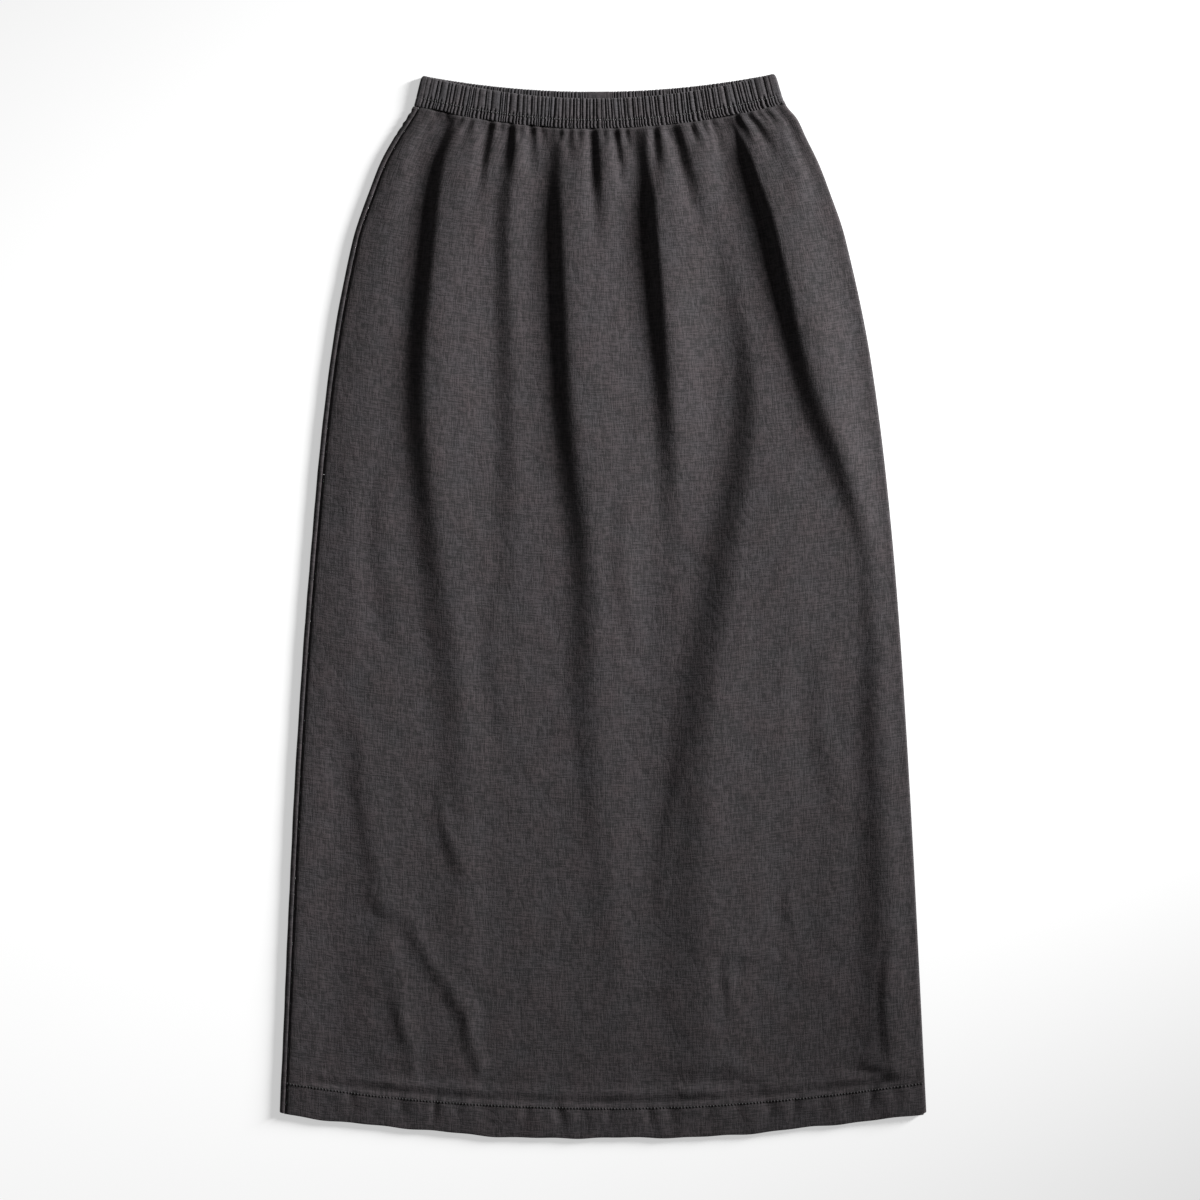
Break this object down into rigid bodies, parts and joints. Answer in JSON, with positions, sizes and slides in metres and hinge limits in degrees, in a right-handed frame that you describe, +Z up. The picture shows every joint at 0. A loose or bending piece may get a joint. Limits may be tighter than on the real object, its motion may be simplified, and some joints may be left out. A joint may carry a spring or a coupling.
{
  "type": "maxi skirt",
  "caption": "Long pull-on linen skirt with a gathered elastic waistband, soft vertical folds and a turned-up hem, laid flat on its back.",
  "frame": {"origin": "on the surface the skirt lies on, under the middle of its length and width", "axes": "+X to the right of the laid skirt seen from above, +Y from the hem to the waist, +Z up out of the surface it lies on"},
  "size_m": [0.5814, 0.9572, 0.0137],
  "materials": {
    "linen": "charcoal plain-weave linen, matt, washed soft",
    "waistband_linen": "the same linen, gathered over an elastic and topstitched",
    "linen_inside": "wrong side of the same linen"
  },
  "bodies": {
    "root": {"front_panel": "linen", "back_panel": "linen", "front_hem_turnup": "linen_inside", "back_hem_turnup": "linen_inside", "waistband": "waistband_linen"}
  },
  "joints": []
}
